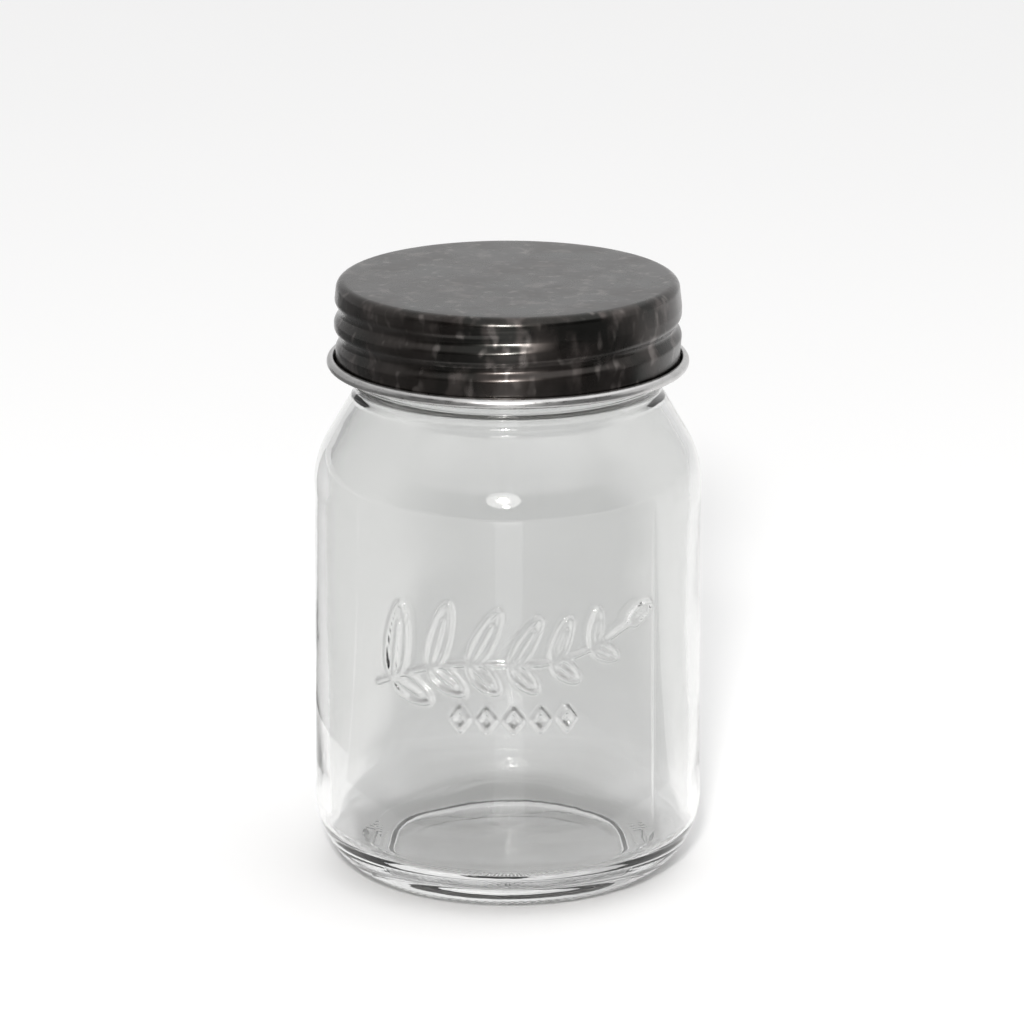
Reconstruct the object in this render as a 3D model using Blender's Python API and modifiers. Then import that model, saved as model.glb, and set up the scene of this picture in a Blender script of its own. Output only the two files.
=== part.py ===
"""A clear glass jar with a screw thread on its neck, a stamped tinplate screw lid, and the lid's disc liner.

Metres, +Z up. The origin is the centre of the base, on the plane that the jar stands on.
Radii are measured from the Z axis, heights from the plane of the base.
"""
import math

import bmesh
import bpy
from mathutils import Matrix, Vector

MM = 0.001

# All three pieces are turned with the same number of facets.
FACETS = 48
MERGE_DISTANCE = 0.001 * MM
SHARP_ANGLE = math.radians(35.0)

# Glass body
BODY_RADIUS_LOW = 40.8 * MM
BODY_RADIUS_HIGH = 40.5 * MM
HEEL_HEIGHT = 16.5 * MM
SHOULDER_START = 83.9 * MM
SHOULDER_RADIUS = 18.0 * MM
SHOULDER_SLOPE = 30.0
WALL = 2.7 * MM

# Glass base
BEARING_RING_OUTER = 27.4 * MM
BEARING_RING_INNER = 25.4 * MM
PUNT_EDGE_RADIUS = 23.6 * MM
PUNT_EDGE_HEIGHT = 0.8 * MM
PUNT_HEIGHT = 1.6 * MM
FLOOR_HEIGHT = 6.4 * MM
FLOOR_RADIUS = 30.6 * MM
INNER_HEEL_TOP = 13.0 * MM

# Glass neck
NECK_RADIUS = 32.1 * MM
NECK_FILLET = 2.5 * MM
NECK_FLARE = 55.0
FINISH_RADIUS = 33.7 * MM
BORE_RADIUS = 30.0 * MM
RIM_HEIGHT = 124.6 * MM
RIM_ROUNDING = 0.8 * MM

# Screw thread, the same helix on the glass and on the lid
PITCH = 5.8 * MM
GROOVE_HEIGHT_AT_X = 117.6 * MM
THREAD_ROW = 0.88 * MM
THREAD_FADE = 35.0

# Raised thread on the glass, half a pitch below the lid's groove
GLASS_THREAD_DEPTH = 1.5 * MM
GLASS_THREAD_WIDTH = 3.4 * MM
GLASS_THREAD_START = -70.0
GLASS_THREAD_END = 490.0
GLASS_THREAD_LOW = 107.6 * MM
GLASS_THREAD_HIGH = 123.8 * MM

# Tinplate lid
LID_TOP = 127.0 * MM
SHEET = 0.3 * MM
CORNER_RADIUS = 2.0 * MM
LID_RADIUS_TOP = 35.7 * MM
LID_RADIUS_MIDDLE = 36.1 * MM
LID_RADIUS_LOW = 35.8 * MM
MIDDLE_HIGH = 121.5 * MM
MIDDLE_LOW = 115.0 * MM
SKIRT_LOW = 111.6 * MM

# Groove pressed into the lid's skirt
LID_GROOVE_DEPTH = 1.05 * MM
LID_GROOVE_WIDTH = 5.0 * MM
LID_GROOVE_START = -225.0
LID_GROOVE_END = 300.0

# Outward curl at the skirt's lower edge
CURL_TUBE_RADIUS = 1.1 * MM
CURL_HEIGHT = 109.6 * MM
CURL_OUTER_RADIUS = LID_RADIUS_LOW - SHEET + 2.0 * CURL_TUBE_RADIUS
CURL_START = 180.0
CURL_END = 465.0
CURL_STEPS = 8

# Disc liner between the rim and the lid's top
GAP = 0.3 * MM
LINER_RADIUS = 34.2 * MM
LINER_EDGE = 0.25 * MM


def remove_scene_objects():
    for item in list(bpy.data.objects):
        bpy.data.objects.remove(item, do_unlink=True)


def make_collection(name):
    collection = bpy.data.collections.new(name)
    bpy.context.scene.collection.children.link(collection)
    return collection


def make_material(name, colour, roughness, metallic, transmission=0.0):
    material = bpy.data.materials.new(name)
    material.use_nodes = True
    shader = material.node_tree.nodes["Principled BSDF"]
    shader.inputs["Base Color"].default_value = (*colour, 1.0)
    shader.inputs["Roughness"].default_value = roughness
    shader.inputs["Metallic"].default_value = metallic
    shader.inputs["Transmission Weight"].default_value = transmission
    material.diffuse_color = (*colour, 1.0)
    return material


def arc(centre, radii, start, end, steps):
    """Points on an ellipse in the radius-height plane. Angles are in degrees, from outwards towards up."""
    points = []
    for step in range(steps + 1):
        angle = math.radians(start + (end - start) * step / steps)
        radius = centre[0] + radii[0] * math.cos(angle)
        height = centre[1] + radii[1] * math.sin(angle)
        points.append((radius, height))
    return points


def rows(radius_at, high, low, spacing):
    """Points at an even spacing of about the stated height, from high down to low."""
    count = math.ceil((high - low) / spacing)
    heights = [high + (low - high) * step / count for step in range(count + 1)]
    return [(radius_at(height), height) for height in heights]


def finish_rows():
    """The threaded stretch of the neck, from its top down."""
    return rows(lambda height: FINISH_RADIUS, GLASS_THREAD_HIGH, GLASS_THREAD_LOW, THREAD_ROW)


def shoulder_line(offset):
    """The shoulder at a distance inside the outer surface: an arc, then a straight slope to the neck."""
    centre = (BODY_RADIUS_HIGH - SHOULDER_RADIUS, SHOULDER_START)
    radius = SHOULDER_RADIUS - offset
    return arc(centre, (radius, radius), SHOULDER_SLOPE, 0.0, 4)


def neck_line():
    """The concave neck from the threaded stretch down to the shoulder's slope."""
    slope = math.radians(SHOULDER_SLOPE)
    slope_start = shoulder_line(0.0)[0]
    slope_end_radius = NECK_RADIUS + NECK_FILLET * (1.0 - math.cos(slope))
    slope_rise = (slope_start[0] - slope_end_radius) / math.tan(slope)
    centre_height = slope_start[1] + slope_rise + NECK_FILLET * math.sin(slope)
    centre = (NECK_RADIUS + NECK_FILLET, centre_height)
    radii = (NECK_FILLET, NECK_FILLET)
    return arc(centre, radii, 180.0 - NECK_FLARE, 180.0 + SHOULDER_SLOPE, 4)


def inner_neck_foot():
    """Where the inside's slope, which keeps the wall's thickness, meets the bore."""
    slope_start = shoulder_line(WALL)[0]
    rise = (slope_start[0] - BORE_RADIUS) / math.tan(math.radians(SHOULDER_SLOPE))
    return (BORE_RADIUS, slope_start[1] + rise)


def jar_profile():
    """The glass's closed section, from the floor's centre up the inside, over the rim and down the outside."""
    inner_heel_centre = (FLOOR_RADIUS, INNER_HEEL_TOP)
    inner_heel_radii = (BODY_RADIUS_LOW - WALL - FLOOR_RADIUS, INNER_HEEL_TOP - FLOOR_HEIGHT)
    heel_centre = (BEARING_RING_OUTER, HEEL_HEIGHT)
    heel_radii = (BODY_RADIUS_LOW - BEARING_RING_OUTER, HEEL_HEIGHT)
    rim_radii = (RIM_ROUNDING, RIM_ROUNDING)
    rim_centre_height = RIM_HEIGHT - RIM_ROUNDING
    profile = [(0.0, FLOOR_HEIGHT)]
    profile += arc(inner_heel_centre, inner_heel_radii, -90.0, 0.0, 6)
    profile += reversed(shoulder_line(WALL))
    profile.append(inner_neck_foot())
    profile += arc((BORE_RADIUS + RIM_ROUNDING, rim_centre_height), rim_radii, 180.0, 90.0, 3)
    profile += arc((FINISH_RADIUS - RIM_ROUNDING, rim_centre_height), rim_radii, 90.0, 0.0, 3)[:-1]
    profile += finish_rows()
    profile += neck_line()
    profile += shoulder_line(0.0)
    profile += arc(heel_centre, heel_radii, 0.0, -90.0, 8)
    profile.append((BEARING_RING_INNER, 0.0))
    profile.append((PUNT_EDGE_RADIUS, PUNT_EDGE_HEIGHT))
    profile.append((0.0, PUNT_HEIGHT))
    return profile


def skirt_radius(height):
    """The inside of the lid's skirt before the groove is pressed in: widest at its middle."""
    if height > MIDDLE_HIGH:
        share = (height - MIDDLE_HIGH) / (LID_TOP - CORNER_RADIUS - MIDDLE_HIGH)
        outer = LID_RADIUS_MIDDLE + (LID_RADIUS_TOP - LID_RADIUS_MIDDLE) * share
    elif height < MIDDLE_LOW:
        share = (MIDDLE_LOW - height) / (MIDDLE_LOW - SKIRT_LOW)
        outer = LID_RADIUS_MIDDLE + (LID_RADIUS_LOW - LID_RADIUS_MIDDLE) * share
    else:
        outer = LID_RADIUS_MIDDLE
    return outer - SHEET


def lid_profile():
    """The inside face of the lid's sheet, from the top's centre down the skirt and round the curl."""
    corner_centre = (LID_RADIUS_TOP - CORNER_RADIUS, LID_TOP - CORNER_RADIUS)
    corner_radius = CORNER_RADIUS - SHEET
    curl_centre = (CURL_OUTER_RADIUS - CURL_TUBE_RADIUS, CURL_HEIGHT)
    curl_radii = (CURL_TUBE_RADIUS, CURL_TUBE_RADIUS)
    profile = [(0.0, LID_TOP - SHEET)]
    profile += arc(corner_centre, (corner_radius, corner_radius), 90.0, 0.0, 4)[:-1]
    profile += rows(skirt_radius, LID_TOP - CORNER_RADIUS, SKIRT_LOW, THREAD_ROW)
    profile += arc(curl_centre, curl_radii, CURL_START, CURL_END, CURL_STEPS)
    return profile


def liner_profile():
    """The disc liner's closed section, from the centre of its top to the centre of its underside."""
    top = LID_TOP - SHEET - GAP
    bottom = RIM_HEIGHT + GAP
    edge = LINER_RADIUS - LINER_EDGE
    return [
        (0.0, top),
        (edge, top),
        (LINER_RADIUS, top - LINER_EDGE),
        (LINER_RADIUS, bottom + LINER_EDGE),
        (edge, bottom),
        (0.0, bottom),
    ]


def turn_profile(name, profile):
    """A mesh object made by spinning a section once round the Z axis."""
    shape = bmesh.new()
    points = [shape.verts.new((radius, 0.0, height)) for radius, height in profile]
    edges = [shape.edges.new(pair) for pair in zip(points, points[1:])]
    bmesh.ops.spin(
        shape,
        geom=points + edges,
        cent=(0.0, 0.0, 0.0),
        axis=(0.0, 0.0, 1.0),
        angle=math.tau,
        steps=FACETS,
        use_merge=True,
    )
    bmesh.ops.remove_doubles(shape, verts=shape.verts, dist=MERGE_DISTANCE)
    bmesh.ops.recalc_face_normals(shape, faces=shape.faces)
    mesh = bpy.data.meshes.new(name)
    shape.to_mesh(mesh)
    shape.free()
    return bpy.data.objects.new(name, mesh)


def thread_share(height, angle, middle_at_x, width, start, end):
    """How far a point is into a helical thread, from 0 beside it to 1 on its middle line.

    The middle line is at middle_at_x where the angle is 0, and climbs one pitch with each turn.
    It runs from the start angle to the end angle, in degrees, and fades away at both.
    """
    share = 0.0
    for turn in range(-2, 3):
        along = angle + 360.0 * turn
        fade = min(along - start, end - along) / THREAD_FADE
        if fade <= 0.0:
            continue
        fade = min(fade, 1.0)
        distance = height - (middle_at_x + PITCH * along / 360.0)
        if abs(distance) < 0.5 * width:
            bump = math.cos(math.pi * distance / width) ** 2
            share = max(share, bump * fade * fade * (3.0 - 2.0 * fade))
    return share


def shape_thread(item, depth, low, high, middle_at_x, width, start, end):
    """Move the points between two heights outwards by the thread's depth, or inwards if it is negative."""
    for point in item.data.vertices:
        radius = math.hypot(point.co.x, point.co.y)
        if radius < BORE_RADIUS + WALL or not low <= point.co.z <= high:
            continue
        angle = math.degrees(math.atan2(point.co.y, point.co.x))
        share = thread_share(point.co.z, angle, middle_at_x, width, start, end)
        scale = (radius + depth * share) / radius
        point.co.x *= scale
        point.co.y *= scale


def face_top_upwards(item):
    """Turn an open sheet's faces so that those of its flat top look up."""
    top = max(item.data.polygons, key=lambda face: face.center.z)
    if top.normal.z < 0.0:
        item.data.flip_normals()


def set_origin(item, point):
    """Put an object's origin at a point without moving its shape."""
    item.data.transform(Matrix.Translation(-Vector(point)))
    item.location = point


def finish_piece(item, collection, material):
    item.data.shade_smooth()
    item.data.set_sharp_from_angle(angle=SHARP_ANGLE)
    item.data.materials.append(material)
    collection.objects.link(item)


def make_jar(collection):
    jar = turn_profile("glass_jar", jar_profile())
    glass_thread = (GROOVE_HEIGHT_AT_X - 0.5 * PITCH, GLASS_THREAD_WIDTH, GLASS_THREAD_START, GLASS_THREAD_END)
    shape_thread(jar, GLASS_THREAD_DEPTH, GLASS_THREAD_LOW, GLASS_THREAD_HIGH, *glass_thread)
    glass = make_material("clear_glass", (0.93, 0.95, 0.94), 0.03, 0.0, transmission=1.0)
    finish_piece(jar, collection, glass)


def make_liner(collection):
    liner = turn_profile("lid_liner", liner_profile())
    set_origin(liner, (0.0, 0.0, RIM_HEIGHT))
    foam = make_material("pale_foam", (0.72, 0.71, 0.68), 0.85, 0.0)
    finish_piece(liner, collection, foam)


def make_lid(collection):
    lid = turn_profile("screw_lid", lid_profile())
    groove = (GROOVE_HEIGHT_AT_X, LID_GROOVE_WIDTH, LID_GROOVE_START, LID_GROOVE_END)
    shape_thread(lid, -LID_GROOVE_DEPTH, SKIRT_LOW, LID_TOP - CORNER_RADIUS, *groove)
    face_top_upwards(lid)
    set_origin(lid, (0.0, 0.0, RIM_HEIGHT))
    sheet = lid.modifiers.new("sheet", "SOLIDIFY")
    sheet.thickness = SHEET
    sheet.offset = 1.0
    sheet.use_even_offset = True
    pewter = make_material("dark_pewter", (0.14, 0.125, 0.115), 0.32, 1.0)
    finish_piece(lid, collection, pewter)


def main():
    remove_scene_objects()
    collection = make_collection("mason_jar_lantern")
    make_jar(collection)
    make_liner(collection)
    make_lid(collection)


main()
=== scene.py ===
"""The finished look of a clear glass jar with a dark, mottled screw lid.

Everything is in metres in the part's own frame: +Z up, the front at -Y, the origin at the base's centre.
Each piece is a turned section, laid out ring by ring round the Z axis.
"""
import math

import bpy
import numpy as np
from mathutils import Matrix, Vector


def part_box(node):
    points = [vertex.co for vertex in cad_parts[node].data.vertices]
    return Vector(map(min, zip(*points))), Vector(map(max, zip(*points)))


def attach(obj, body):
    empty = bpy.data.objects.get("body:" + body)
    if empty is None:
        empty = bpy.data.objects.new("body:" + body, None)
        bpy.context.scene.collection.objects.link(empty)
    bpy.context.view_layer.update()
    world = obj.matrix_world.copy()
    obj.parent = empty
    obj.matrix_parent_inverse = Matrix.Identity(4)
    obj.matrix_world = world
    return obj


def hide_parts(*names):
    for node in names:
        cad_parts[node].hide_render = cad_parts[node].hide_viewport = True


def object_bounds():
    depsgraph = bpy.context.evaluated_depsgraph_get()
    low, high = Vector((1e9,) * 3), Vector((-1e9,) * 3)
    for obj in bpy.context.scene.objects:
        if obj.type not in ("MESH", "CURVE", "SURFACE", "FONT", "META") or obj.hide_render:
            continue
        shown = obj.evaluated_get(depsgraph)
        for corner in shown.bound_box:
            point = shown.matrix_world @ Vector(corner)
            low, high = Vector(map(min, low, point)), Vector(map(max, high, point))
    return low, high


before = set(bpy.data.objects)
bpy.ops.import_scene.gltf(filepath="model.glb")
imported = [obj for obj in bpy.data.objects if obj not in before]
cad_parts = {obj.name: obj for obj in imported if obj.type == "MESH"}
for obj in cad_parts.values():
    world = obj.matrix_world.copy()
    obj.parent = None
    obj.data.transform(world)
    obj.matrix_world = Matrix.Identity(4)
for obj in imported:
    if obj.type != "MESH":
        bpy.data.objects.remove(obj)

MM = 0.001
CAD_BOX = [list(corner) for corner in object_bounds()]
JAR_LOW, JAR_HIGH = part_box("glass_jar")
LINER_LOW, LINER_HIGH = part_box("lid_liner")
LID_LOW, LID_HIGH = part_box("screw_lid")

# Glass body, as in the CAD model
BODY_TAPER = 0.3 * MM
BODY_RADIUS_LOW = JAR_HIGH[0]
BODY_RADIUS_HIGH = BODY_RADIUS_LOW - BODY_TAPER
RIM_HEIGHT = JAR_HIGH[2]
HEEL_HEIGHT = 16.5 * MM
SHOULDER_START = 83.9 * MM
SHOULDER_RADIUS = 18.0 * MM
SHOULDER_SLOPE = 30.0
WALL = 2.7 * MM

# Glass base
BEARING_RING_OUTER = 27.4 * MM
BEARING_RING_INNER = 25.4 * MM
PUNT_EDGE_RADIUS = 23.6 * MM
PUNT_EDGE_HEIGHT = 0.8 * MM
PUNT_HEIGHT = 1.6 * MM
FLOOR_HEIGHT = 6.4 * MM
FLOOR_RADIUS = 30.6 * MM
INNER_HEEL_TOP = 13.0 * MM
FLOOR_RING_RADIUS = 28.0 * MM
FLOOR_RING_WIDTH = 2.4 * MM
FLOOR_RING_HEIGHT = 0.22 * MM
RIBS = 115
RIBS_OUTER = 34.5 * MM
RIB_DEPTH = 0.42 * MM

# Glass neck
NECK_RADIUS = 32.1 * MM
NECK_FILLET = 2.5 * MM
NECK_FLARE = 55.0
FINISH_RADIUS = 33.7 * MM
FINISH_LOW = 107.6 * MM
BORE_RADIUS = 30.0 * MM
BORE_FILLET = 5.0 * MM
RIM_ROUNDING = 0.8 * MM

# Slow unevenness of the glass's inside: how deep, and where it fades away
WALL_WAVE = 0.13 * MM
FLOOR_WAVE = 0.08 * MM
WAVE_START = FLOOR_HEIGHT + 0.3 * MM
WAVE_END = RIM_HEIGHT - 8.0 * MM
WAVE_FADE = 6.0 * MM

# The helix that the glass and the lid share
PITCH = 5.8 * MM
GROOVE_HEIGHT_AT_X = 117.6 * MM
THREAD_FADE = 35.0
GLASS_THREAD = {
    "depth": 1.5 * MM,
    "middle": GROOVE_HEIGHT_AT_X - 0.5 * PITCH,
    "width": 3.4 * MM,
    "start": -70.0,
    "end": 490.0,
}
LID_GROOVE = {
    "depth": -1.05 * MM,
    "middle": GROOVE_HEIGHT_AT_X,
    "width": 5.0 * MM,
    "start": -225.0,
    "end": 300.0,
}

# Tinplate lid
LID_TOP = LID_HIGH[2]
SHEET = 0.3 * MM
CORNER_RADIUS = 2.0 * MM
LID_RADIUS_TOP = 35.7 * MM
LID_RADIUS_MIDDLE = 36.1 * MM
LID_RADIUS_LOW = 35.8 * MM
MIDDLE_HIGH = 121.5 * MM
MIDDLE_LOW = 115.0 * MM
SKIRT_LOW = 111.6 * MM
CURL_TUBE_RADIUS = 1.1 * MM
CURL_HEIGHT = LID_LOW[2] + CURL_TUBE_RADIUS
CURL_END = 465.0

# Relief on the front of the glass: how far it stands out, and how wide its lines are
RELIEF_HEIGHT = 0.7 * MM
RELIEF_LOW = 38.0 * MM
RELIEF_HIGH = 73.0 * MM
LINE_HALF_WIDTH = 0.8 * MM

# Sprig and lozenges, across the front from its middle and up from the base
STEM_START = (-29.0 * MM, 49.0 * MM)
STEM_RUN = (56.0 * MM, 13.0 * MM)
STEM_SWAY = 2.2 * MM
LEAF_PAIRS = 6
LEAF_FIRST = 0.07
LEAF_STEP = 0.155
LEAF_WIDTH = 5.8 * MM
UPPER_LEAF = {"lean": 60.0, "length": 16.0 * MM, "shrink": 0.10}
LOWER_LEAF = {"lean": -48.0, "length": 9.5 * MM, "shrink": 0.07}
TIP_LEAF = {"lean": 30.0, "length": 6.5 * MM, "width": 3.4 * MM}
LOZENGES = 5
LOZENGE_START = (-10.0 * MM, 43.6 * MM)
LOZENGE_STEP = 5.6 * MM
LOZENGE_HALF = (1.7 * MM, 2.3 * MM)

# Mould seam and the dish that the relief stands in
SEAM_ANGLE = -42.0
SEAM_HALF_WIDTH = 0.5 * MM
SEAM_HEIGHT = 0.12 * MM
DISH_DEPTH = 0.56 * MM
DISH_FADE_ANGLE = 24.0
DISH_FADE_HEIGHT = 9.0 * MM
FRONT_ANGLE = -90.0
FRONT_RIBS = 32
FRONT_REACH = 0.5 * FRONT_RIBS * 360.0 / RIBS

# Mesh columns: to each rib in front and behind, and round the lid and the liner
FINE_TO_A_RIB = 6
COARSE_TO_A_RIB = 2
LID_COLUMNS = 288
LINER_COLUMNS = 144

# Camera, lights and surroundings
CAMERA_DISTANCE = 1.2
CAMERA_RISE = 16.65
CAMERA_PIVOT = Vector((0.84 * MM, 0.0, 60.0 * MM))
CAMERA_AIM_HEIGHT = 76.6 * MM
CAMERA_LENS = 200.6
SENSOR = 36.0
FLOOR_REACH = 6.0
FLOOR_GAP = 0.05 * MM
CEILING_BRIGHT = 1.22
WALLS_BRIGHT = 0.80
ROOM_DIM = 0.05
LEFT_SHARE = 0.62
FLAG_OUTER = 3.0
# Cards, each as its start and end angle, its inner radius and its grey
FLAGS = (
    ("front_flag_left", -184.0, -97.0, 0.10, 0.12),
    ("front_flag_right", -82.0, 4.0, 0.10, 0.12),
    ("left_flag", 118.0, 175.0, 0.12, 0.16),
)
FLAG_HEIGHT = 1.0 * MM

# Lamps, each as its turn from the front, rise above level, distance, width and power. The first three
# share one direction, so that their highlight has a bright core and a soft edge.
LAMPS = (
    ("key_core", -3.0, 25.5, 1.40, 0.12, 12.0),
    ("key_middle", -3.0, 25.5, 1.42, 0.20, 0.6),
    ("key_halo", -3.0, 25.5, 1.44, 0.50, 2.4),
    ("low_fill", -1.0, 17.5, 1.40, 0.10, 0.8),
)
LAMP_COLOUR = (1.0, 0.985, 0.97)
LAMP_AIM_HEIGHT = 70.0 * MM


# ---------------------------------------------------------------- sections

def arc(centre, radii, start, end, steps):
    """Points on an ellipse in the radius-height plane. Angles are in degrees, from outwards towards up."""
    angles = np.radians(np.linspace(start, end, steps + 1))
    radius = centre[0] + radii[0] * np.cos(angles)
    height = centre[1] + radii[1] * np.sin(angles)
    return list(zip(radius, height))


def line(first, last, steps):
    """Points from first to last, without the first, which the stretch before it already has."""
    shares = np.linspace(0.0, 1.0, steps + 1)[1:]
    return [tuple(np.array(first) + share * (np.array(last) - np.array(first))) for share in shares]


def shoulder_arc(offset, steps):
    centre = (BODY_RADIUS_HIGH - SHOULDER_RADIUS, SHOULDER_START)
    radius = SHOULDER_RADIUS - offset
    return arc(centre, (radius, radius), SHOULDER_SLOPE, 0.0, steps)


def neck_arc(steps):
    """The concave neck from the threaded stretch down to the shoulder's slope."""
    slope = math.radians(SHOULDER_SLOPE)
    slope_start = shoulder_arc(0.0, 1)[0]
    slope_end_radius = NECK_RADIUS + NECK_FILLET * (1.0 - math.cos(slope))
    slope_rise = (slope_start[0] - slope_end_radius) / math.tan(slope)
    centre = (NECK_RADIUS + NECK_FILLET, slope_start[1] + slope_rise + NECK_FILLET * math.sin(slope))
    return arc(centre, (NECK_FILLET, NECK_FILLET), 180.0 - NECK_FLARE, 180.0 + SHOULDER_SLOPE, steps)


def inner_heel(steps):
    """The inside's curve from the floor's edge up to the wall."""
    radii = (BODY_RADIUS_LOW - WALL - FLOOR_RADIUS, INNER_HEEL_TOP - FLOOR_HEIGHT)
    return arc((FLOOR_RADIUS, INNER_HEEL_TOP), radii, -90.0, 0.0, steps)


def ramp(first, last, steps):
    """Points from first to last, without the first, that leave and arrive level."""
    points = []
    for share in np.linspace(0.0, 1.0, steps + 1)[1:]:
        ease = share * share * (3.0 - 2.0 * share)
        points.append((first[0] + share * (last[0] - first[0]), first[1] + ease * (last[1] - first[1])))
    return points


def inner_neck(steps):
    """The rounded corner where the inside's slope turns up into the bore."""
    slope = math.radians(SHOULDER_SLOPE)
    slope_start = shoulder_arc(WALL, 1)[0]
    corner_height = slope_start[1] + (slope_start[0] - BORE_RADIUS) / math.tan(slope)
    centre_height = corner_height + BORE_FILLET * math.tan(0.5 * slope)
    centre = (BORE_RADIUS + BORE_FILLET, centre_height)
    return arc(centre, (BORE_FILLET, BORE_FILLET), 180.0 + SHOULDER_SLOPE, 180.0, steps)


def inner_section():
    """The inside of the glass, from beside the floor's centre up to the rim's inner corner."""
    shoulder = list(reversed(shoulder_arc(WALL, 8)))
    neck = inner_neck(5)
    ring_inner = FLOOR_RING_RADIUS - 0.5 * FLOOR_RING_WIDTH
    points = line((0.0, FLOOR_HEIGHT), (ring_inner, FLOOR_HEIGHT), 6)
    for radius, height in line(points[-1], (ring_inner + FLOOR_RING_WIDTH, FLOOR_HEIGHT), 8):
        share = (radius - FLOOR_RING_RADIUS) / FLOOR_RING_WIDTH
        points.append((radius, height + FLOOR_RING_HEIGHT * math.cos(math.pi * share) ** 2))
    points += line(points[-1], (FLOOR_RADIUS, FLOOR_HEIGHT), 1)
    points += inner_heel(13)[1:]
    points += line(points[-1], shoulder[0], 15)
    points += shoulder[1:]
    points += line(shoulder[-1], neck[0], 3)
    points += neck[1:]
    points += line(neck[-1], (BORE_RADIUS, RIM_HEIGHT - RIM_ROUNDING), 6)
    return points


def rim_section():
    """The rounded rim, from its inner corner over the flat land to its outer corner."""
    radii = (RIM_ROUNDING, RIM_ROUNDING)
    centre_height = RIM_HEIGHT - RIM_ROUNDING
    points = arc((BORE_RADIUS + RIM_ROUNDING, centre_height), radii, 180.0, 90.0, 4)[1:]
    points += arc((FINISH_RADIUS - RIM_ROUNDING, centre_height), radii, 90.0, 0.0, 4)
    return points


def punt(steps):
    """The dome that the base is pushed up into, from its edge to its centre."""
    shares = np.linspace(1.0, 0.0, steps + 1)
    rise = PUNT_HEIGHT - PUNT_EDGE_HEIGHT
    return [(PUNT_EDGE_RADIUS * share, PUNT_HEIGHT - rise * share * share) for share in shares]


def outer_section():
    """The outside of the glass, from under the rim's outer corner down to beside the punt's centre."""
    neck = neck_arc(8)
    shoulder = shoulder_arc(0.0, 12)
    relief_radius = [
        BODY_RADIUS_HIGH + (BODY_RADIUS_LOW - BODY_RADIUS_HIGH) * (SHOULDER_START - height)
        / (SHOULDER_START - HEEL_HEIGHT)
        for height in (RELIEF_HIGH, RELIEF_LOW)
    ]
    heel_radii = (BODY_RADIUS_LOW - BEARING_RING_OUTER, HEEL_HEIGHT)
    points = line((FINISH_RADIUS, RIM_HEIGHT - RIM_ROUNDING), (FINISH_RADIUS, FINISH_LOW), 36)
    points += neck
    points += line(neck[-1], shoulder[0], 6)
    points += shoulder[1:]
    points += line(shoulder[-1], (relief_radius[0], RELIEF_HIGH), 5)
    points += line(points[-1], (relief_radius[1], RELIEF_LOW), 82)
    points += line(points[-1], (BODY_RADIUS_LOW, HEEL_HEIGHT), 6)
    points += arc((BEARING_RING_OUTER, HEEL_HEIGHT), heel_radii, 0.0, -90.0, 22)[1:]
    points += line(points[-1], (BEARING_RING_INNER, 0.0), 4)
    points += ramp(points[-1], (PUNT_EDGE_RADIUS, PUNT_EDGE_HEIGHT), 8)
    points += punt(8)[1:-1]
    return points


def skirt_radius(height):
    """The outside of the lid's skirt before the groove is pressed in: widest at its middle."""
    heights = (SKIRT_LOW, MIDDLE_LOW, MIDDLE_HIGH, LID_TOP - CORNER_RADIUS)
    radii = (LID_RADIUS_LOW, LID_RADIUS_MIDDLE, LID_RADIUS_MIDDLE, LID_RADIUS_TOP)
    return float(np.interp(height, heights, radii))


def lid_section():
    """The coated face of the lid's sheet, from beside the top's centre down the skirt and into the curl."""
    corner = (LID_RADIUS_TOP - CORNER_RADIUS, LID_TOP - CORNER_RADIUS)
    heights = np.linspace(LID_TOP - CORNER_RADIUS, SKIRT_LOW, 61)[1:]
    roll_radius = CURL_TUBE_RADIUS - SHEET
    roll_centre = (LID_RADIUS_LOW + roll_radius, CURL_HEIGHT)
    points = line((0.0, LID_TOP), (corner[0], LID_TOP), 16)
    points += arc(corner, (CORNER_RADIUS, CORNER_RADIUS), 90.0, 0.0, 10)[1:]
    points += [(skirt_radius(height), height) for height in heights]
    points += line(points[-1], (LID_RADIUS_LOW, CURL_HEIGHT), 3)
    points += arc(roll_centre, (roll_radius, roll_radius), 180.0, CURL_END, 24)[1:]
    return points


# ---------------------------------------------------------------- shaping

def thread_share(height, angle, thread):
    """How far each point is into a helical thread, from 0 beside it to 1 on its middle line."""
    share = np.zeros_like(height)
    for turn in range(-2, 3):
        along = angle + 360.0 * turn
        fade = np.minimum(along - thread["start"], thread["end"] - along) / THREAD_FADE
        fade = np.clip(fade, 0.0, 1.0)
        fade = fade * fade * (3.0 - 2.0 * fade)
        distance = height - (thread["middle"] + PITCH * along / 360.0)
        bump = np.cos(math.pi * np.clip(distance / thread["width"], -0.5, 0.5)) ** 2
        share = np.maximum(share, bump * fade)
    return share


def distance_to_path(across, up, path):
    """The distance from each point of the unrolled wall to a path of straight steps."""
    nearest = np.full(across.shape, 1.0)
    for (x0, y0), (x1, y1) in zip(path, path[1:]):
        step = np.array((x1 - x0, y1 - y0))
        length = float(step @ step)
        share = np.clip(((across - x0) * step[0] + (up - y0) * step[1]) / length, 0.0, 1.0)
        gap = np.hypot(across - (x0 + share * step[0]), up - (y0 + share * step[1]))
        nearest = np.minimum(nearest, gap)
    return nearest


def stem_point(share):
    """The stem of the sprig: a long S that climbs from the lower left to the upper right."""
    across = STEM_START[0] + STEM_RUN[0] * share
    up = STEM_START[1] + STEM_RUN[1] * share + STEM_SWAY * math.sin(math.tau * share)
    return across, up


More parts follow.
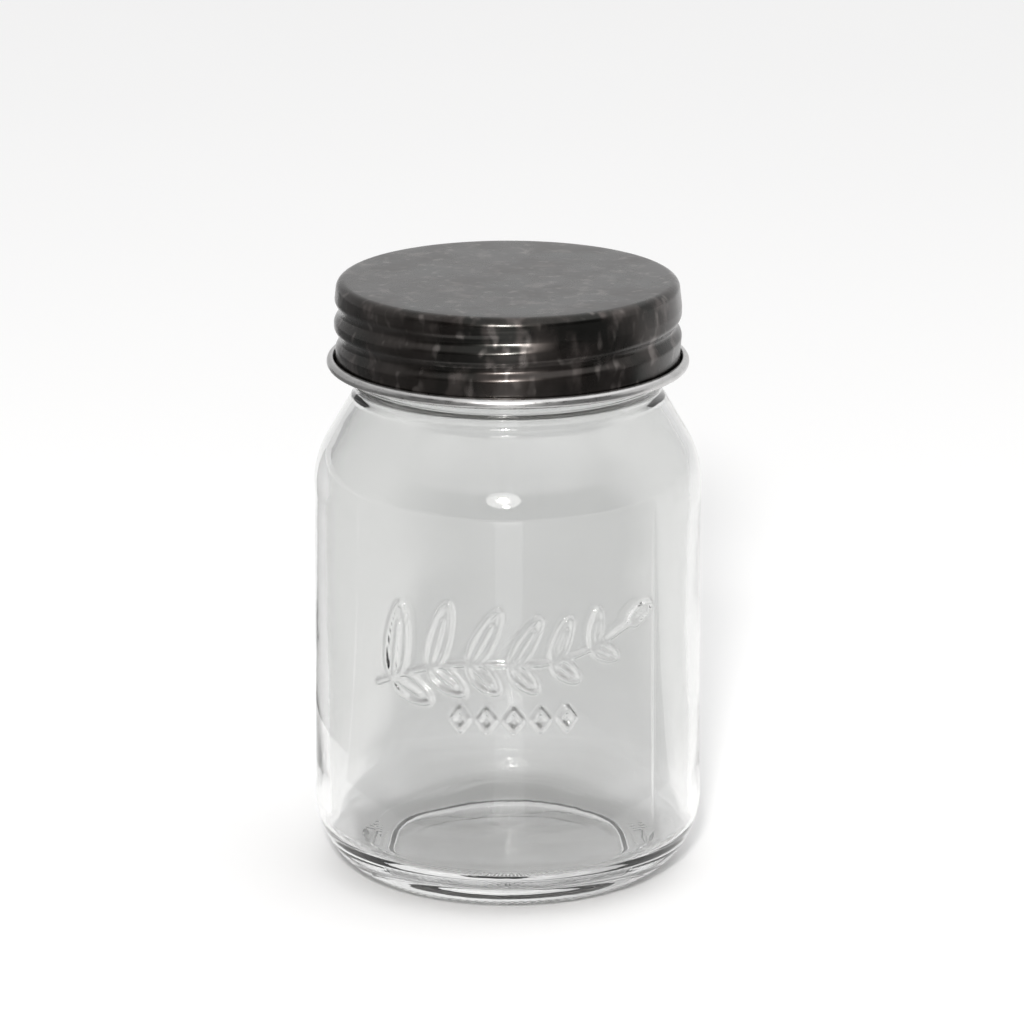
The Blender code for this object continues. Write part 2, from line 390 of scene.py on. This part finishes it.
def leaf_paths(foot, heading, length, width):
    """A leaf's outline and its midrib, as paths. The outline swells to its width and ends in a point."""
    along = (math.cos(heading), math.sin(heading))
    side = (-along[1], along[0])
    outline = []
    for step in range(25):
        turn = math.tau * step / 24
        reach = 0.5 - 0.5 * math.cos(turn)
        swell = 0.5 * width * math.sin(turn) * (1.0 - 0.35 * reach)
        point = (
            foot[0] + along[0] * length * reach + side[0] * swell,
            foot[1] + along[1] * length * reach + side[1] * swell,
        )
        outline.append(point)
    rib_end = (foot[0] + along[0] * length * 0.72, foot[1] + along[1] * length * 0.72)
    return [outline, [foot, rib_end]]


def sprig_paths():
    """Stem, leaves in pairs that shrink along it, a closing leaf, and a row of lozenges under it."""
    paths = [[stem_point(step / 40.0) for step in range(41)]]
    for pair in range(LEAF_PAIRS):
        share = LEAF_FIRST + LEAF_STEP * pair
        ahead = stem_point(share + 0.01)
        foot = stem_point(share)
        heading = math.atan2(ahead[1] - foot[1], ahead[0] - foot[0])
        for leaf in (UPPER_LEAF, LOWER_LEAF):
            size = 1.0 - leaf["shrink"] * pair
            turned = heading + math.radians(leaf["lean"])
            paths += leaf_paths(foot, turned, leaf["length"] * size, LEAF_WIDTH * size)
    tip = stem_point(1.0)
    paths += leaf_paths(tip, math.radians(TIP_LEAF["lean"]), TIP_LEAF["length"], TIP_LEAF["width"])
    half_width, half_height = LOZENGE_HALF
    for place in range(LOZENGES):
        middle = (LOZENGE_START[0] + LOZENGE_STEP * place, LOZENGE_START[1])
        paths.append([
            (middle[0] - half_width, middle[1]),
            (middle[0], middle[1] + half_height),
            (middle[0] + half_width, middle[1]),
            (middle[0], middle[1] - half_height),
            (middle[0] - half_width, middle[1]),
        ])
    return paths


def relief_share(height, angle):
    """How far the front relief stands out at each point, from 0 to 1."""
    across = np.radians((angle - FRONT_ANGLE + 180.0) % 360.0 - 180.0) * BODY_RADIUS_HIGH
    share = np.zeros_like(height)
    near = (np.abs(across) < math.radians(FRONT_REACH) * BODY_RADIUS_HIGH)
    near &= (height > RELIEF_LOW) & (height < RELIEF_HIGH)
    nearest = np.full(int(near.sum()), 1.0)
    for path in sprig_paths():
        nearest = np.minimum(nearest, distance_to_path(across[near], height[near], path))
    rise = np.clip(1.0 - nearest / LINE_HALF_WIDTH, 0.0, 1.0)
    rise = np.clip(1.35 * rise, 0.0, 1.0)
    share[near] = rise * rise * (3.0 - 2.0 * rise)
    return share


def relief_offset(height, angle):
    """The relief and the shallow dish that it stands in, which keeps it within the body's width."""
    across = (angle - FRONT_ANGLE + 180.0) % 360.0 - 180.0
    dish = np.clip((FRONT_REACH - np.abs(across)) / DISH_FADE_ANGLE, 0.0, 1.0)
    dish *= np.clip((height - RELIEF_LOW + DISH_FADE_HEIGHT) / DISH_FADE_HEIGHT, 0.0, 1.0)
    dish *= np.clip((RELIEF_HIGH + DISH_FADE_HEIGHT - height) / DISH_FADE_HEIGHT, 0.0, 1.0)
    dish = dish * dish * (3.0 - 2.0 * dish)
    return RELIEF_HEIGHT * relief_share(height, angle) - DISH_DEPTH * dish


def seam_offset(height, angle):
    """The fine ridge that the mould's two halves leave up both sides of the glass."""
    across = np.radians((angle - SEAM_ANGLE + 90.0) % 180.0 - 90.0) * BODY_RADIUS_HIGH
    ridge = np.clip(1.0 - np.abs(across) / SEAM_HALF_WIDTH, 0.0, 1.0)
    return SEAM_HEIGHT * ridge * np.clip((height - HEEL_HEIGHT) / (4.0 * MM), 0.0, 1.0)


def rib_recess(radius, height, angle):
    """The knurled foot: fine radial grooves pressed up into the bearing ring and the heel beside it."""
    share = np.clip((radius - BEARING_RING_INNER) / (RIBS_OUTER - BEARING_RING_INNER), 0.0, 1.0)
    wave = 0.5 - 0.5 * np.cos(np.radians(RIBS * (angle - FRONT_ANGLE)))
    return np.where(height < HEEL_HEIGHT, RIB_DEPTH * wave * np.sin(math.pi * share), 0.0)


def waviness(height, angle):
    """The slow unevenness that blowing leaves on the inside of a glass wall, from about -1 to 1."""
    turn = np.radians(angle)
    wave = 0.40 * np.sin(3.0 * turn + 0.7 + height / (16.0 * MM))
    wave += 0.30 * np.sin(5.0 * turn - 1.1 - height / (9.0 * MM))
    wave += 0.20 * np.sin(2.0 * turn + 2.3 + height / (5.5 * MM))
    wave += 0.10 * np.sin(9.0 * turn + 0.4 + height / (3.6 * MM))
    return wave


def jar_angles():
    """Angles round the jar, in degrees: more to a rib across the front, where the relief is."""
    pitch = 360.0 / RIBS
    fine = np.arange(FINE_TO_A_RIB * FRONT_RIBS) * pitch / FINE_TO_A_RIB
    coarse = np.arange(COARSE_TO_A_RIB * (RIBS - FRONT_RIBS)) * pitch / COARSE_TO_A_RIB
    return np.concatenate([FRONT_ANGLE - FRONT_REACH + fine, FRONT_ANGLE + FRONT_REACH + coarse])


def even_angles(count):
    return np.linspace(0.0, 360.0, count + 1)[:-1]


# ---------------------------------------------------------------- meshes

def turned_piece(name, section, angles, shape=None, first_pole=None, last_pole=None):
    """A mesh object from a section turned round Z. shape(radius, height, angle) may move the points.

    A pole is the height of the point on the axis that closes that end of the section.
    """
    section = np.array(section)
    radius = np.repeat(section[:, :1], len(angles), axis=1)
    height = np.repeat(section[:, 1:], len(angles), axis=1)
    angle = np.repeat(np.array(angles)[None, :], len(section), axis=0)
    if shape is not None:
        radius, height = shape(radius, height, angle)
    turn = np.radians(angle)
    points = np.stack([radius * np.cos(turn), radius * np.sin(turn), height], axis=-1)
    points = points.reshape(-1, 3).tolist()
    count = len(angles)
    faces = []
    for ring in range(len(section) - 1):
        start = ring * count
        for column in range(count):
            beside = (column + 1) % count
            faces.append((start + column, start + count + column, start + count + beside, start + beside))
    if first_pole is not None:
        points.append((0.0, 0.0, first_pole))
        faces += [(len(points) - 1, column, (column + 1) % count) for column in range(count)]
    if last_pole is not None:
        points.append((0.0, 0.0, last_pole))
        start = (len(section) - 1) * count
        for column in range(count):
            faces.append((len(points) - 1, start + (column + 1) % count, start + column))
    mesh = bpy.data.meshes.new(name)
    mesh.from_pydata(points, [], faces)
    mesh.shade_smooth()
    piece = bpy.data.objects.new(name, mesh)
    bpy.context.scene.collection.objects.link(piece)
    return piece


def make_jar():
    inner = inner_section()
    rim = rim_section()
    outer = outer_section()
    section = inner + rim + outer
    inner_end = len(inner)
    outer_start = len(inner) + len(rim)

    def shape(radius, height, angle):
        outside = np.zeros_like(radius, bool)
        outside[outer_start:] = True
        inside = np.zeros_like(radius, bool)
        inside[:inner_end] = True
        finish = outside & (height >= FINISH_LOW)
        thread = GLASS_THREAD["depth"] * thread_share(height, angle, GLASS_THREAD)
        radius = radius + np.where(finish, thread, 0.0)
        radius = radius + np.where(outside, relief_offset(height, angle), 0.0)
        body = outside & (height > HEEL_HEIGHT) & (height < SHOULDER_START)
        radius = radius + np.where(body, seam_offset(height, angle) - SEAM_HEIGHT, 0.0)
        height = height + np.where(outside, rib_recess(radius, height, angle), 0.0)
        wave = waviness(height, angle)
        on_wall = inside & (height > WAVE_START) & (height < WAVE_END)
        fade = np.clip((height - FLOOR_HEIGHT) / WAVE_FADE, 0.0, 1.0)
        fade *= np.clip((WAVE_END - height) / WAVE_FADE, 0.0, 1.0)
        radius = radius + np.where(on_wall, WALL_WAVE * wave * fade, 0.0)
        on_floor = inside & (radius < FLOOR_RADIUS)
        floor_wave = FLOOR_WAVE * wave * np.sin(math.pi * radius / FLOOR_RADIUS)
        height = height + np.where(on_floor, floor_wave, 0.0)
        return radius, height

    jar = turned_piece(
        "jar_glass",
        section,
        jar_angles(),
        shape,
        first_pole=FLOOR_HEIGHT,
        last_pole=PUNT_HEIGHT,
    )
    return jar


def make_lid():
    def shape(radius, height, angle):
        on_skirt = (height >= SKIRT_LOW) & (height <= LID_TOP - CORNER_RADIUS) & (radius > BORE_RADIUS)
        groove = LID_GROOVE["depth"] * thread_share(height, angle, LID_GROOVE)
        return radius + np.where(on_skirt, groove, 0.0), height

    lid = turned_piece("lid_shell", lid_section(), even_angles(LID_COLUMNS), shape, first_pole=LID_TOP)
    sheet = lid.modifiers.new("sheet", "SOLIDIFY")
    sheet.thickness = SHEET
    sheet.offset = -1.0
    sheet.use_even_offset = True
    sheet.material_offset = 1
    sheet.material_offset_rim = 1
    return lid


def make_liner():
    """A foam disc with rounded edges and the shallow ring that the rim presses into its underside."""
    top, bottom = LINER_HIGH[2], LINER_LOW[2]
    reach = LINER_HIGH[0]
    edge = 0.3 * MM
    dent_middle = 0.5 * (BORE_RADIUS + FINISH_RADIUS)
    dent_width = 4.0 * MM
    section = line((0.0, top), (reach - edge, top), 12)
    section += arc((reach - edge, top - edge), (edge, edge), 90.0, 0.0, 4)[1:]
    section += arc((reach - edge, bottom + edge), (edge, edge), 0.0, -90.0, 4)
    for radius, height in line((reach - edge, bottom), (0.0, bottom), 60)[:-1]:
        share = np.clip((radius - dent_middle) / dent_width, -0.5, 0.5)
        section.append((radius, height + 0.25 * MM * math.cos(math.pi * share) ** 2))
    return turned_piece(
        "liner_disc",
        section,
        even_angles(LINER_COLUMNS),
        first_pole=top,
        last_pole=bottom,
    )


# ---------------------------------------------------------------- materials

class Nodes:
    """A material's node tree, with short calls that add a node and join it up."""

    def __init__(self, name):
        self.material = bpy.data.materials.new(name)
        self.material.use_nodes = True
        self.tree = self.material.node_tree
        self.shader = self.tree.nodes["Principled BSDF"]
        self.position = self.tree.nodes.new("ShaderNodeTexCoord").outputs["Object"]

    def add(self, kind, settings=None, **inputs):
        node = self.tree.nodes.new(kind)
        for key, value in (settings or {}).items():
            setattr(node, key, value)
        for key, value in inputs.items():
            self.feed(node.inputs[key.replace("_", " ")], value)
        return node

    def feed(self, socket, value):
        if isinstance(value, bpy.types.NodeSocket):
            self.tree.links.new(value, socket)
        else:
            socket.default_value = value

    def noise(self, size, detail=3.0, roughness=0.5, vector=None, distortion=0.0):
        """Noise whose features are about size metres across, as its value."""
        node = self.add("ShaderNodeTexNoise", Scale=1.0 / size, Detail=detail, Roughness=roughness)
        node.inputs["Distortion"].default_value = distortion
        self.tree.links.new(vector or self.position, node.inputs["Vector"])
        return node.outputs["Fac"]

    def stretched(self, scale, offset=(0.0, 0.0, 0.0)):
        node = self.add("ShaderNodeMapping")
        node.inputs["Scale"].default_value = scale
        node.inputs["Location"].default_value = offset
        self.tree.links.new(self.position, node.inputs["Vector"])
        return node.outputs["Vector"]

    def spread(self, value, low, high, to_low=0.0, to_high=1.0):
        """Maps low..high to to_low..to_high, held inside that range, with soft ends."""
        node = self.add("ShaderNodeMapRange", {"interpolation_type": "SMOOTHSTEP"})
        for name, number in (("From Min", low), ("From Max", high), ("To Min", to_low), ("To Max", to_high)):
            node.inputs[name].default_value = number
        self.tree.links.new(value, node.inputs["Value"])
        return node.outputs["Result"]

    def mix(self, share, first, second):
        """A colour between first and second."""
        node = self.add("ShaderNodeMix", {"data_type": "RGBA"})
        for name, value in (("Factor_Float", share), ("A_Color", first), ("B_Color", second)):
            socket = next(s for s in node.inputs if s.identifier == name)
            self.feed(socket, value)
        return next(s for s in node.outputs if s.identifier == "Result_Color")

    def bump(self, height, depth, strength=1.0):
        node = self.add("ShaderNodeBump", Strength=strength, Distance=depth)
        self.tree.links.new(height, node.inputs["Height"])
        self.tree.links.new(node.outputs["Normal"], self.shader.inputs["Normal"])


def grey(value, warm=0.0):
    """A grey with a touch of warmth."""
    return (value * (1.0 + warm), value, value * (1.0 - warm), 1.0)


def glass_material():
    """Clear glass greyed by painted shade in its walls and kept clearer low down as painted light, with
    faint handling marks and the soft ripple of a moulded surface.
    """
    nodes = Nodes("clear_jar_glass")
    height = nodes.add("ShaderNodeSeparateXYZ", Vector=nodes.position).outputs["Z"]
    # The walls' grey is painted shade: it darkens the glass as a dim room would, with a slow random
    # variation in it.
    wall_painted_shade = nodes.mix(nodes.noise(30.0 * MM), (0.808, 0.813, 0.807, 1.0), (0.836, 0.840, 0.834, 1.0))
    # The clearer glass low down is painted light: it lifts the base, which the jar's own shadow and the
    # extra surfaces there darken.
    glass_painted_light_and_shade = nodes.mix(nodes.spread(height, 14.0 * MM, 34.0 * MM), (0.985, 0.987, 0.984, 1.0), wall_painted_shade)
    nodes.feed(nodes.shader.inputs["Base Color"], glass_painted_light_and_shade)
    marks = nodes.spread(nodes.noise(9.0 * MM, detail=5.0), 0.52, 0.75, 0.0, 0.035)
    nodes.feed(nodes.shader.inputs["Roughness"], marks)
    nodes.shader.inputs["Transmission Weight"].default_value = 1.0
    nodes.shader.inputs["IOR"].default_value = 1.5
    nodes.bump(nodes.noise(5.0 * MM, detail=2.0), 0.05 * MM, 0.35)
    return nodes.material


def pewter_material():
    """A dark brown-grey coat, mottled like old pewter, with soft pale flecks that run down the skirt."""
    nodes = Nodes("mottled_dark_pewter")
    flecks_scale = (1.0, 1.0, 0.55)
    cloud = nodes.noise(9.0 * MM, detail=3.0, roughness=0.55, vector=nodes.stretched(flecks_scale))
    patch_place = nodes.stretched(flecks_scale, (3.1, 1.7, 0.4))
    patch = nodes.noise(3.8 * MM, detail=2.0, roughness=0.5, vector=patch_place)
    fleck = nodes.noise(2.6 * MM, detail=1.0, vector=nodes.stretched(flecks_scale, (0.7, 5.2, 2.4)))
    hue = nodes.noise(16.0 * MM, detail=2.0, vector=nodes.stretched((1.0, 1.0, 1.0), (6.0, 2.0, 1.0)))
    dark = nodes.mix(nodes.spread(hue, 0.40, 0.60), (0.024, 0.019, 0.017, 1.0), (0.019, 0.019, 0.017, 1.0))
    mid = nodes.mix(nodes.spread(cloud, 0.38, 0.66), dark, (0.046, 0.040, 0.037, 1.0))
    worn = nodes.mix(nodes.spread(patch, 0.52, 0.74, 0.0, 0.7), mid, (0.120, 0.104, 0.098, 1.0))
    flecked = nodes.mix(nodes.spread(fleck, 0.58, 0.78, 0.0, 0.55), worn, (0.22, 0.20, 0.19, 1.0))
    nodes.feed(nodes.shader.inputs["Base Color"], flecked)
    nodes.shader.inputs["Metallic"].default_value = 0.9
    nodes.shader.inputs["Coat Weight"].default_value = 0.25
    nodes.shader.inputs["Coat Roughness"].default_value = 0.16
    nodes.feed(nodes.shader.inputs["Roughness"], nodes.spread(cloud, 0.35, 0.70, 0.24, 0.34))
    nodes.bump(nodes.noise(6.0 * MM, detail=2.0), 0.02 * MM, 0.10)
    return nodes.material


def tin_material():
    """Bare rolled tin: pale, satin, with faint marks round the edge and a little dulling."""
    nodes = Nodes("bare_tin")
    streak = nodes.noise(2.5 * MM, detail=3.0, vector=nodes.stretched((1.0, 1.0, 4.0)))
    dull = nodes.noise(8.0 * MM, detail=3.0)
    base = nodes.mix(nodes.spread(streak, 0.3, 0.7), grey(0.56, 0.01), grey(0.64, 0.01))
    colour = nodes.mix(nodes.spread(dull, 0.5, 0.75, 0.0, 0.4), base, grey(0.40, 0.02))
    nodes.feed(nodes.shader.inputs["Base Color"], colour)
    nodes.shader.inputs["Metallic"].default_value = 1.0
    nodes.feed(nodes.shader.inputs["Roughness"], nodes.spread(streak, 0.3, 0.7, 0.27, 0.33))
    nodes.bump(streak, 0.01 * MM, 0.1)
    return nodes.material


def foam_material():
    """Closed-cell foam: off-white, matt, with fine cells."""
    nodes = Nodes("liner_foam")
    cells = nodes.add("ShaderNodeTexVoronoi", Scale=1.0 / (0.45 * MM))
    nodes.tree.links.new(nodes.position, cells.inputs["Vector"])
    colour = nodes.mix(nodes.noise(6.0 * MM), (0.70, 0.68, 0.64, 1.0), (0.80, 0.79, 0.76, 1.0))
    nodes.feed(nodes.shader.inputs["Base Color"], colour)
    cell_share = cells.outputs["Distance"]
    nodes.feed(nodes.shader.inputs["Roughness"], nodes.spread(cell_share, 0.0, 0.7, 0.95, 0.75))
    nodes.bump(cell_share, 0.06 * MM, 0.5)
    return nodes.material


def floor_material():
    nodes = Nodes("pale_floor")
    colour = nodes.mix(nodes.noise(0.35, detail=2.0), grey(0.95), grey(0.97))
    nodes.feed(nodes.shader.inputs["Base Color"], colour)
    nodes.feed(nodes.shader.inputs["Roughness"], nodes.spread(nodes.noise(0.02), 0.3, 0.7, 0.75, 0.85))
    nodes.shader.inputs["Specular IOR Level"].default_value = 0.0
    return nodes.material


# ---------------------------------------------------------------- surroundings

def make_camera():
    rise = math.radians(CAMERA_RISE)
    place = CAMERA_PIVOT + CAMERA_DISTANCE * Vector((0.0, -math.cos(rise), math.sin(rise)))
    aim = Vector((CAMERA_PIVOT.x, CAMERA_PIVOT.y, CAMERA_AIM_HEIGHT))
    data = bpy.data.cameras.new("camera")
    data.lens = CAMERA_LENS
    data.sensor_width = SENSOR
    data.clip_start = 0.05
    data.clip_end = 50.0
    camera = bpy.data.objects.new("camera", data)
    camera.location = place
    camera.rotation_euler = (aim - place).to_track_quat("-Z", "Y").to_euler()
    bpy.context.scene.collection.objects.link(camera)
    bpy.context.scene.camera = camera


def make_lamp(name, turn, rise, distance, size, power):
    """A round soft lamp that faces the jar. turn is in degrees from the front towards +X.

    rise is in degrees above level.
    """
    turn = math.radians(turn)
    rise = math.radians(rise)
    aim = Vector((0.0, 0.0, LAMP_AIM_HEIGHT))
    away = Vector((math.sin(turn) * math.cos(rise), -math.cos(turn) * math.cos(rise), math.sin(rise)))
    data = bpy.data.lights.new(name, "AREA")
    data.shape = "DISK"
    data.size = size
    data.energy = power
    data.color = LAMP_COLOUR
    lamp = bpy.data.objects.new(name, data)
    lamp.location = aim + away * distance
    lamp.rotation_euler = (-away).to_track_quat("-Z", "Y").to_euler()
    bpy.context.scene.collection.objects.link(lamp)


def make_flag(name, start, end, inner, shade):
    """A card that lies on the floor beside the jar. Only reflections see it, as in a dimmed studio."""
    bend = np.radians(np.linspace(start, end, 49))
    points = [
        (reach * math.cos(turn), reach * math.sin(turn), FLAG_HEIGHT)
        for reach in (inner, FLAG_OUTER)
        for turn in bend
    ]
    count = len(bend)
    faces = [(step, step + 1, count + step + 1, count + step) for step in range(count - 1)]
    mesh = bpy.data.meshes.new(name)
    mesh.from_pydata(points, [], faces)
    flag = bpy.data.objects.new(name, mesh)
    material = bpy.data.materials.new(name)
    material.use_nodes = True
    material.node_tree.nodes["Principled BSDF"].inputs["Base Color"].default_value = grey(shade)
    mesh.materials.append(material)
    flag.visible_camera = False
    flag.visible_diffuse = False
    flag.visible_transmission = False
    flag.visible_shadow = False
    bpy.context.scene.collection.objects.link(flag)


def make_world():
    """A pale room that is dim in front of the jar, up to the ceiling, and a little duller on the left."""
    world = bpy.data.worlds.new("studio")
    world.use_nodes = True
    tree = world.node_tree
    direction = tree.nodes.new("ShaderNodeTexCoord")
    split = tree.nodes.new("ShaderNodeSeparateXYZ")
    tree.links.new(direction.outputs["Generated"], split.inputs["Vector"])

    def fade(axis, low, high, to_low, to_high):
        node = tree.nodes.new("ShaderNodeMapRange")
        for name, number in (("From Min", low), ("From Max", high), ("To Min", to_low), ("To Max", to_high)):
            node.inputs[name].default_value = number
        tree.links.new(split.outputs[axis], node.inputs["Value"])
        return node.outputs["Result"]

    def join(operation, first, second):
        node = tree.nodes.new("ShaderNodeMath")
        node.operation = operation
        tree.links.new(first, node.inputs[0])
        tree.links.new(second, node.inputs[1])
        return node.outputs["Value"]

    behind = fade("Y", -0.40, -0.16, ROOM_DIM, WALLS_BRIGHT)
    above = fade("Z", 0.48, 0.64, ROOM_DIM, CEILING_BRIGHT)
    side = fade("X", -0.50, 0.10, LEFT_SHARE, 1.0)
    level = join("MULTIPLY", join("MAXIMUM", behind, above), side)
    tree.links.new(level, tree.nodes["Background"].inputs["Color"])
    bpy.context.scene.world = world


def make_surroundings():
    mesh = bpy.data.meshes.new("floor")
    corners = [
        (-FLOOR_REACH, -FLOOR_REACH, 0.0),
        (FLOOR_REACH, -FLOOR_REACH, 0.0),
        (FLOOR_REACH, FLOOR_REACH, 0.0),
        (-FLOOR_REACH, FLOOR_REACH, 0.0),
    ]
    mesh.from_pydata(corners, [], [(0, 1, 2, 3)])
    floor = bpy.data.objects.new("floor", mesh)
    floor.location.z = CAD_BOX[0][2] - FLOOR_GAP
    floor.data.materials.append(floor_material())
    bpy.context.scene.collection.objects.link(floor)
    make_world()
    for name, start, end, inner, shade in FLAGS:
        make_flag(name, start, end, inner, shade)
    for lamp in LAMPS:
        make_lamp(*lamp)
    bpy.context.scene.view_settings.view_transform = "Standard"
    # Thick clear glass needs more bounces than the default, which leaves its heel dark.
    light_paths = bpy.context.scene.cycles
    light_paths.max_bounces = 28
    light_paths.transmission_bounces = 28
    light_paths.diffuse_bounces = 6
    light_paths.glossy_bounces = 10


# ---------------------------------------------------------------- assembly

def dress(piece, materials, body, node):
    for material in materials:
        piece.data.materials.append(material)
    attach(piece, body)
    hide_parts(node)


make_camera()
make_surroundings()
dress(make_jar(), [glass_material()], "jar", "glass_jar")
dress(make_lid(), [pewter_material(), tin_material()], "lid", "screw_lid")
dress(make_liner(), [foam_material()], "liner", "lid_liner")
